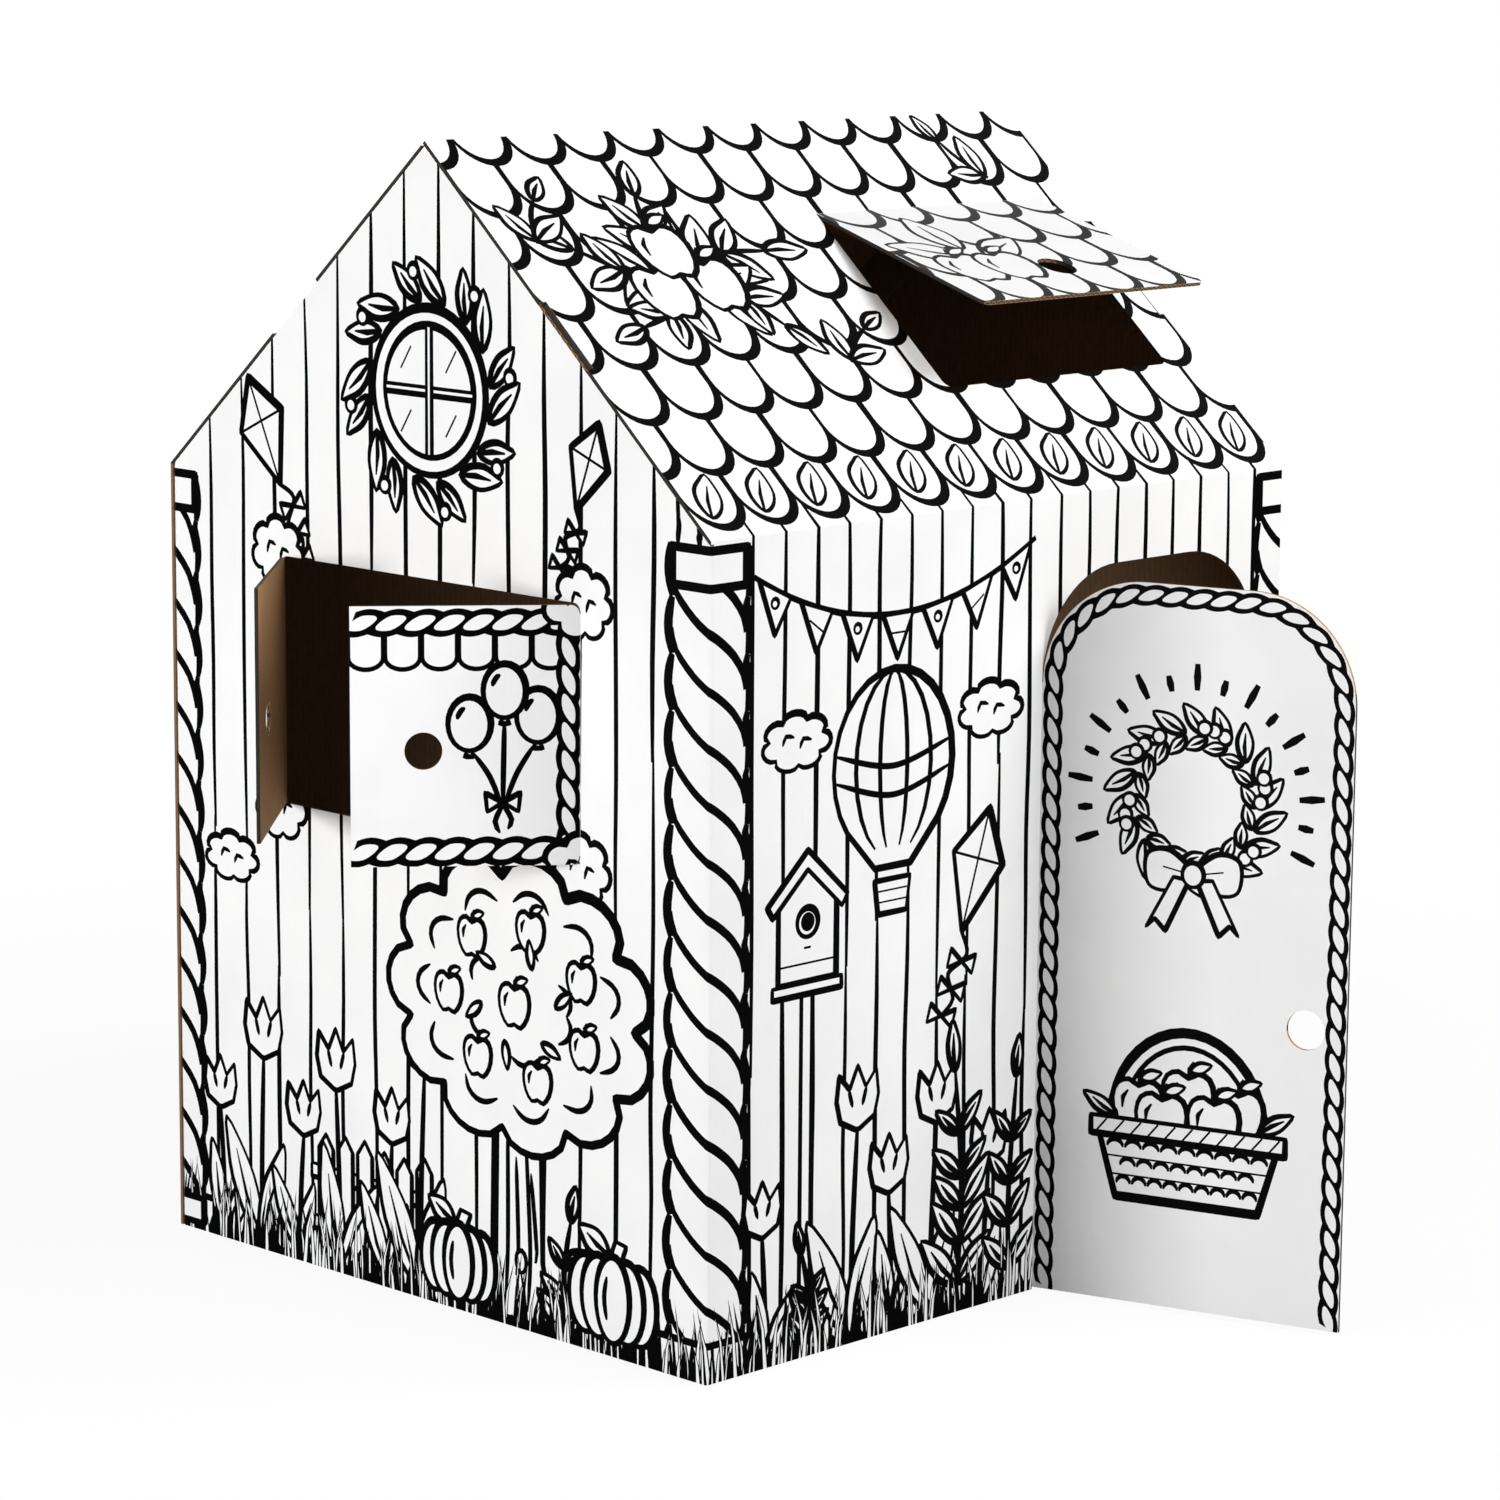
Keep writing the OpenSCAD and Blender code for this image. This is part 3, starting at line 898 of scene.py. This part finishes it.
def printed(name, art, frame_of, folds):
    """A new mesh for a CAD node: its outer surface carries the drawing, and the rest stays as it is.
    frame_of moves the node to the place it has in the closed front sheet."""
    points, faces = welded(frame["nodes"][name])
    home = [frame_of @ p for p in points]
    back = frame_of.inverted()
    outer, rest = printed_faces(faces, home)
    place = {}
    for flats in outer.values():
        place.update(flats)
    directed = [(f[i], f[(i + 1) % 3]) for f in outer for i in range(3)]
    have = set(directed)
    rim = [(a, b) for a, b in directed if (b, a) not in have]
    verts, shapes, edges, holes = [], [], [], set()
    for loop in sorted(loops_of(rim), key=lambda l: -abs(signed_area([place[i] for i in l]))):
        pts = [place[i] for i in loop]
        ids = list(range(len(verts), len(verts) + len(pts)))
        verts += pts
        if signed_area(pts) < 0:
            holes.add(len(shapes))
            ids.reverse()
        shapes.append(ids)
    base = len(shapes)
    for ends in fold_edges(place) if folds else []:
        edges.append((len(verts), len(verts) + 1))
        verts += ends
    n = len(verts)
    verts += art.points
    shapes += [[n + i for i in f] for f in art.faces]
    out = delaunay_2d_cdt([Vector(v) for v in verts], edges, shapes, 1, 1e-4)
    flat, tris, owners = out[0], out[2], out[5]
    outer_ids = {i for i in range(base) if i not in holes}
    mesh_points = list(points)
    mesh_faces, skins, uvs = [], [], []
    key_of, spots = {}, {}
    for i, (s, t) in place.items():
        key_of[(round(s * 1000), round(t * 1000))] = i
        spots[i] = (s, t)

    def vertex(i):
        s, t = flat[i]
        a, b = round(s * 1000), round(t * 1000)
        for key in ((a + da, b + db) for da in (0, -1, 1) for db in (0, -1, 1)):
            if key in key_of:
                return key_of[key]
        key_of[(a, b)] = len(mesh_points)
        spots[len(mesh_points)] = (s, t)
        mesh_points.append(back @ point_of(s, t))
        return key_of[(a, b)]

    for tri, own in zip(tris, owners):
        own = set(own)
        if not own & outer_ids or own & holes:
            continue
        top = max(own)
        ids = [vertex(i) for i in tri]
        if len(set(ids)) < len(ids):
            continue
        mesh_faces.append(ids)
        skins.append(PAPER if top < base else art.inks[top - base])
        uvs.append([(flat[i][0] / 1000, flat[i][1] / 1000) for i in tri])
    rim_points = points_on(rim, place, [(i, spots[i]) for i in spots if i >= len(points)])
    for f in rest:
        ids = []
        for i in range(3):
            a, b = f[i], f[(i + 1) % 3]
            ids.append(a)
            ids += rim_points.get((b, a), [])[::-1]
        ps = [home[i] for i in f]
        skin, st = rest_skin(ps)
        # The inside faces of the folded sheets take the dark inner liner: painted shade for the inside of
        # the house, where the bare kraft is lighter.
        if skin == KRAFT and folds:
            skin = SHADED_INNER
        mesh_faces.append(ids)
        skins.append(skin)
        uvs.append([st(frame_of @ mesh_points[i]) for i in ids])
    mesh = bpy.data.meshes.new(name + "_board")
    mesh.from_pydata(mesh_points, [], mesh_faces)
    for skin in SKINS:
        mesh.materials.append(MATERIALS[skin])
    mesh.polygons.foreach_set("material_index", skins)
    layer = mesh.uv_layers.new(name="sheet")
    layer.data.foreach_set("uv", [c for face in uvs for uv in face for c in uv])
    mesh.validate()
    mesh.update()
    obj = bpy.data.objects.new(name + "_board", mesh)
    bpy.context.scene.collection.objects.link(obj)
    return obj


def rest_skin(ps):
    """The skin of a face that isn't the printed surface, and its place across and along the flutes."""
    normal = (ps[1] - ps[0]).cross(ps[2] - ps[0])
    if normal.length > 0:
        normal.normalize()
    c = sum(ps, Vector()) / 3
    w = slope_of(c)[1]
    ny, nz = normal[1], normal[2]
    along = ny * UP[0] + nz * UP[1]
    out = ny * OUT[0] + nz * OUT[1]
    on_roof = w > UNDER_ROOF and c[2] > EAVE_Z - BOARD
    on_gable = c[0] < -HALF_L + BOARD + NEAR and not on_roof
    if on_roof:
        if abs(out) > FACING:
            return KRAFT, lambda p: (p[0], slope_of(p)[0])
        if abs(along) > 0.7:
            return FLUTES, lambda p: (p[0], slope_of(p)[1])
        return SHADED_SIDE, lambda p: (slope_of(p)[1], slope_of(p)[0])
    if abs(normal[0]) > FACING:
        if c[0] < 0 and on_gable or abs(c[0]) > 0.42:
            return KRAFT, lambda p: (p[1], p[2])
        return SHADED_SIDE, lambda p: (p[1], p[2])
    if abs(ny) > FACING:
        if abs(c[1] - FOLD_Y) < 1e-4 or c[1] > 0.81:
            return KRAFT, lambda p: (p[0], p[2])
        return SHADED_SIDE, lambda p: (p[0], p[2])
    if on_gable:
        return FLUTES, lambda p: (p[1], p[0] + HALF_L)
    if c[1] > 0.8:
        return FLUTES, lambda p: (p[0], p[1] - FAR_FOLD_Y)
    if abs(nz) > FACING:
        return FLUTES, lambda p: (p[0], p[1] - WALL_Y)
    return KRAFT, lambda p: (p[0], p[2])


MATERIALS = {"paper": coated_paper(),
             "ink": black_ink(),
             "kraft": bare_liner("kraft_liner", (0.36, 0.19, 0.082), (0.56, 0.31, 0.14)),
             # inner: a darker copy of the kraft liner, painted shade for the inside of the house
             "inner": bare_liner("shaded_inner_liner", (0.15, 0.085, 0.042), (0.25, 0.145, 0.075)),
             "flutes": open_flutes(),
             # side: the cut edges in near black, painted shade
             "side": shaded_cut_side()}

# Where the drawing lies on the unfolded sheet, in millimetres
CORNER = (FOLD_LINES[0] + FOLD_LINES[1]) / 2
FAR_CORNER = FAR_S * 1000 - BOARD * math.pi / 4 * 1000
RAKE = math.tan(PITCH)


def gable_top(s):
    y = abs(FOLD_Y - (s / 1000 - GABLE_S) - MID_Y)
    return 852 + (0.415 - y) * RAKE * 1000


ROOF_T = SLOPE_T * 1000 + 8
WINDOW_RIGHT = GABLE_S * 1000 - 180
WINDOW_LEFT = GABLE_S * 1000 - 642
WINDOW_MID = (WINDOW_RIGHT + WINDOW_LEFT) / 2


def sheet_pattern(art):
    columns = ((CORNER - 58, CORNER + 54), (FAR_CORNER - 50, FAR_CORNER + 40), (397, 500))
    for s0, s1 in columns:
        column(art, s0, s1, 30, 830)
        art.fill([(s0 - 20, 847), (s1 + 20, 847), (s1 + 20, 990), (s0 - 20, 990)])
        art.fill([(s0 - 20, -100), (s1 + 20, -100), (s1 + 20, 0), (s0 - 20, 0)])
    planks(art, [GABLE_S * 1000 - 76 - GABLE_PLANK * i for i in range(14)], -2, lambda s: gable_top(s) + 4)
    planks(art, [GABLE_S * 1000 - k for k in (12, 42)], 846, lambda s: gable_top(s) + 4)
    planks(art, [-381 + WALL_PLANK * i for i in range(18)], -2, lambda s: ROOF_T + 30)
    scallops(art, ROOF_T)
    for s0, s1 in columns:
        block(art, s0 - 2, s1 + 2, 801, 848)
        block(art, s0 - 24, s1 + 22, -14, 44, 12, 8)


def roof_leaves(art):
    for i in range(12):
        leaf(art, -ROOF_S + SHINGLE_W * (i + 0.5) - 14, ROOF_T + 20, 62, 62, 0.5, 4.5)


def roof_art(art):
    for turn, size in ((14, 1.0), (160, 0.95), (86, 0.85), (214, 0.85), (-38, 0.85)):
        art.place(-225, 1195, size, turn)
        sprig(art, [(30, 0), (80, 10), (140, -6)], 82, 2, 6, wide=0.46)
        art.place()
    for u, v in ((-264, 1176), (-188, 1182), (-226, 1232)):
        apple(art, u, v, 38, 7)
    for u, v, turn in ((-368, 1290, 60), (-50, 1085, 40), (310, 1340, 120)):
        art.place(u, v, 1, turn)
        sprig(art, [(-40, 0), (0, 5), (30, 0)], 56, 1, 5.5, wide=0.46)
        art.place()


def window_puffs(art):
    for s, t in ((WINDOW_LEFT - 6, 775), (WINDOW_RIGHT + 4, 772),
                 (WINDOW_LEFT - 4, 500), (WINDOW_RIGHT + 2, 500)):
        cloud(art, s, t, 34, 30)


front = Art()
sheet_pattern(front)
roof_art(front)
roof_leaves(front)
front.pen = 1.3
round_window(front, -848, 965, 82)
kite(front, -1112, 905, 92, 25)
cloud(front, -1172, 432, 36, 22)
kite(front, -612, 912, 72, -20)
window_puffs(front)
fence(front, -1035, -845, 150, 6)
for flower in ((-1190, 200, 52, -6), (-1128, 276, 60, 6), (-1064, 196, 54, 8),
               (-996, 262, 60, -6), (-918, 214, 54, 6), (-868, 300, 56, 8)):
    tulip(front, *flower)
tree(front, -715, 6, 478, 172)
sprig(front, [(-640, 0), (-646, 70), (-636, 130)], 52, 3, 5, wide=0.42)
air_balloon(front, -176, 600, 88)
cloud(front, -318, 640, 40, 24)
cloud(front, -30, 640, 40, 24)
bird_house(front, -300, 0, 520)
bunting(front, -380, 36, 812, 58, 7)
kite(front, -48, 476, 100, -18)
for flower in ((-356, 190, 52, -6), (-232, 286, 60, 8), (-170, 206, 56, -6),
               (-112, 270, 58, 8), (-30, 206, 54, 8)):
    tulip(front, *flower)
sprig(front, [(-72, 0), (-64, 130), (-76, 262)], 74, 5, 5, wide=0.34)
sprig(front, [(14, 0), (10, 110), (20, 240)], 60, 4, 5, wide=0.36)
sprig(front, [(-300, 0), (-294, 60), (-304, 110)], 46, 3, 5)
grass(front, FAR_S * 1000 - 5, 445, 640, 86)
block(front, FAR_CORNER - 52, FAR_CORNER + 42, 4, 40, 12, 8)
pumpkin(front, -574, 14, 62, 46)
pumpkin(front, -808, 10, 56, 42)

back = Art()
sheet_pattern(back)
grass(back, FAR_S * 1000 - 5, 445, 520, 72)

door = Art()
leaf_edge = ([(63, 2), (63, 656)] + oval(166, 656, 103, 103, 14, 178, 90)
             + oval(284, 656, 103, 103, 14, 90, 2) + [(387, 656), (387, 2)])
rope(door, leaf_edge, 23, 27, 5.6)
wreath(door, 225, 548, 78)
door.pen = 1.3
dashes(door, 225, 548, 116, 144, 17, -22, 202, 5.5)
basket(door, 225, 116, 122)


def shutter_pattern(art, s0, s1, hinge, inner):
    far = s0 if hinge > (s0 + s1) / 2 else s1
    for i in range(6):
        a = far + (hinge - far) * i / 6
        b = far + (hinge - far) * (i + 1) / 6
        c, w = (a + b) / 2, abs(b - a) / 2 - 1
        hem = oval(c, 718, w, 12, 12, 180, 360)
        art.line([(c - w, 744), (c - w, 722)] + hem + [(c + w, 722), (c + w, 744)], 4.5, (1, 1), 0.1)
    rope(art, [(hinge, 506), (hinge, 766)], 26, 29, 6.5)
    rope(art, [(s0, 753), (s1, 753)], 29, 29, 7)
    rope(art, [(s0, 520), (s1, 520)], 31, 29, 7.5)
    art.pen = 1.3
    balloons(art, inner, 568, 98)


left_shutter = Art()
shutter_pattern(left_shutter, WINDOW_LEFT, WINDOW_MID + 2, WINDOW_LEFT + 12, (WINDOW_LEFT + WINDOW_MID) / 2)
window_puffs(left_shutter)
right_shutter = Art()
shutter_pattern(right_shutter, WINDOW_MID - 2, WINDOW_RIGHT, WINDOW_RIGHT - 12, WINDOW_RIGHT - 78)
window_puffs(right_shutter)

flap = Art()
scallops(flap, ROOF_T)
for u, v, turn in ((120, 1130, 150), (150, 1122, 30), (134, 1150, 92)):
    leaf(flap, u, v, 92, turn, 0.5, 5)
apple(flap, 100, 1100, 38, 6)
apple(flap, 158, 1098, 38, 6)


def closing(joint):
    """Turns a leaf from its place at rest to its place in the flat wall."""
    j = joints[joint]
    p = Vector(j["pos_m"])
    turn = Matrix.Rotation(math.radians(j["range_deg"][0]), 4, Vector(j["axis"]))
    return Matrix.Translation(p) @ turn @ Matrix.Translation(-p)


MIDDLE = Matrix.Translation((0, MID_Y, 0))
HALF_TURN = MIDDLE @ Matrix.Rotation(math.pi, 4, "Z") @ MIDDLE.inverted()
for name, art, home, body, slot, folds in (
        ("front_sheet", front, Matrix(), "house", "printed_board", True),
        ("back_sheet", back, HALF_TURN, "house", "printed_board", True),
        ("door", door, closing("door_crease"), "door", "leaf_board", False),
        ("left_shutter", left_shutter, closing("left_shutter_crease"),
         "left_shutter", "leaf_board", False),
        ("right_shutter", right_shutter, closing("right_shutter_crease"),
         "right_shutter", "leaf_board", False),
        ("skylight_flap", flap, closing("skylight_crease"), "skylight_flap", "leaf_board", False)):
    board = printed(name, art, home, folds)
    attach(board, body)
    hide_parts(name)


def crease(name, joint, inward, along):
    """The bent board between a leaf and its sheet: a wedge round the hinge line, spanning from the closed
    leaf to the leaf at rest.
    """
    j = joints[joint]
    p, axis = Vector(j["pos_m"]), Vector(j["axis"])
    turn = math.radians(-j["range_deg"][0])
    reach = [(Vector(v.co) - p) for v in frame["nodes"][name].data.vertices]
    span = [d.dot(axis) for d in reach if (d - axis * d.dot(axis)).length < 0.0005]
    lo, hi = min(span), max(span)
    count = 8
    ring = [Vector()]
    ring += [Matrix.Rotation(turn * k / count, 3, axis) @ (inward * BOARD) for k in range(count + 1)]
    turned = Matrix.Rotation(turn, 3, axis)
    ring += [turned @ (inward * BOARD + along * 0.0003), turned @ (along * 0.0003)]
    n = len(ring)
    points = [p + axis * end + r for end in (lo, hi) for r in ring]
    faces = [[i, (i + 1) % n, (i + 1) % n + n, i + n] for i in range(n)]
    faces += [list(range(n))[::-1], [n + i for i in range(n)]]
    mesh = bpy.data.meshes.new(name + "_crease")
    mesh.from_pydata(points, [], faces)
    mesh.materials.append(MATERIALS["kraft"])
    mesh.materials.append(MATERIALS["paper"])
    mesh.polygons[n - 1].material_index = 1
    layer = mesh.uv_layers.new(name="sheet")
    for loop in mesh.loops:
        k = loop.vertex_index
        layer.data[loop.index].uv = ((k % n) * 0.0005, lo if k < n else hi)
    mesh.update()
    obj = bpy.data.objects.new(name + "_crease", mesh)
    bpy.context.scene.collection.objects.link(obj)
    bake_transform(obj)


IN_SLOPE = Vector((0, -OUT[0], -OUT[1]))
crease("door", "door_crease", Vector((0, 1, 0)), Vector((1, 0, 0)))
crease("left_shutter", "left_shutter_crease", Vector((1, 0, 0)), Vector((0, -1, 0)))
crease("right_shutter", "right_shutter_crease", Vector((1, 0, 0)), Vector((0, 1, 0)))
crease("skylight_flap", "skylight_crease", IN_SLOPE, Vector((0, -UP[0], -UP[1])))

# Stage
floor_mat, tree, shader = material("white_floor", 0.9)
glow = node(tree, "ShaderNodeEmission", in_0=(1, 1, 1, 1), in_1=1.0)
path = node(tree, "ShaderNodeLightPath")
mix = node(tree, "ShaderNodeMixShader")
grey = ramp(tree, path.outputs["Is Camera Ray"], ((0, (0.22, 0.22, 0.22)), (1, (0.96, 0.96, 0.96))))
tree.links.new(grey, shader.inputs["Base Color"])
spot = node(tree, "ShaderNodeNewGeometry")
away = node(tree, "ShaderNodeVectorMath", operation="DISTANCE")
away.inputs[1].default_value = (0, 0.4, 0)
tree.links.new(spot.outputs["Position"], away.inputs[0])
fade = node(tree, "ShaderNodeMapRange", in_1=0.9, in_2=2.2, in_3=0.92, in_4=1.0)
tree.links.new(away.outputs["Value"], fade.inputs[0])
tree.links.new(math_node(tree, "MULTIPLY", path.outputs["Is Camera Ray"], fade.outputs[0]), mix.inputs[0])
tree.links.new(shader.outputs[0], mix.inputs[1])
tree.links.new(glow.outputs[0], mix.inputs[2])
tree.links.new(mix.outputs[0], tree.nodes["Material Output"].inputs[0])
bpy.ops.mesh.primitive_plane_add(size=400, location=(0, 0.4, -0.0005))
floor = bpy.context.object
floor.name = "studio_floor"
floor.data.materials.append(floor_mat)

world = bpy.data.worlds.new("studio")
bpy.context.scene.world = world
world.use_nodes = True
tree = world.node_tree
path = node(tree, "ShaderNodeLightPath")
white = node(tree, "ShaderNodeBackground", in_0=(1, 1, 1, 1), in_1=1.0)
soft = tree.nodes["Background"]
soft.inputs[0].default_value = (1, 1, 1, 1)
soft.inputs[1].default_value = 0.2
mix = node(tree, "ShaderNodeMixShader")
seen = math_node(tree, "MAXIMUM", path.outputs["Is Camera Ray"], path.outputs["Is Transmission Ray"])
tree.links.new(seen, mix.inputs[0])
tree.links.new(soft.outputs[0], mix.inputs[1])
tree.links.new(white.outputs[0], mix.inputs[2])
tree.links.new(mix.outputs[0], tree.nodes["World Output"].inputs[0])


def lamp(name, place, aim, size, power):
    data = bpy.data.lights.new(name, "AREA")
    data.shape = "SQUARE"
    data.size = size
    data.energy = power
    obj = bpy.data.objects.new(name, data)
    obj.location = place
    obj.rotation_euler = (Vector(aim) - Vector(place)).to_track_quat("-Z", "Y").to_euler()
    bpy.context.scene.collection.objects.link(obj)


lamp("key_light", (0.6, -5.0, 2.4), (0, 0.4, 0.6), 2.2, 166)
lamp("window_light", (-4.0, 0.67, 0.85), (0, 0.6, 0.7), 1.2, 111)
lamp("top_light", (1.6, -2.2, 4.4), (0, 0.2, 1.0), 1.5, 128)

# Camera
cam_data = bpy.data.cameras.new("camera")
cam_data.lens = 122.0
cam_data.sensor_width = 36
cam = bpy.data.objects.new("camera", cam_data)
bpy.context.scene.collection.objects.link(cam)
yaw, pitch, roll = math.radians(45.38), math.radians(-10.38), math.radians(0.41)
forward = Vector((math.sin(yaw) * math.cos(pitch), math.cos(yaw) * math.cos(pitch), math.sin(pitch)))
right = Vector((math.cos(yaw), -math.sin(yaw), 0))
up = right.cross(forward)
right, up = math.cos(roll) * right + math.sin(roll) * up, -math.sin(roll) * right + math.cos(roll) * up
EYE = (-3.8936, -3.4652, 1.5434)
cam.matrix_world = Matrix.Translation(EYE) @ Matrix((right, up, -forward)).transposed().to_4x4()
bpy.context.scene.camera = cam
bpy.context.scene.view_settings.view_transform = "Standard"
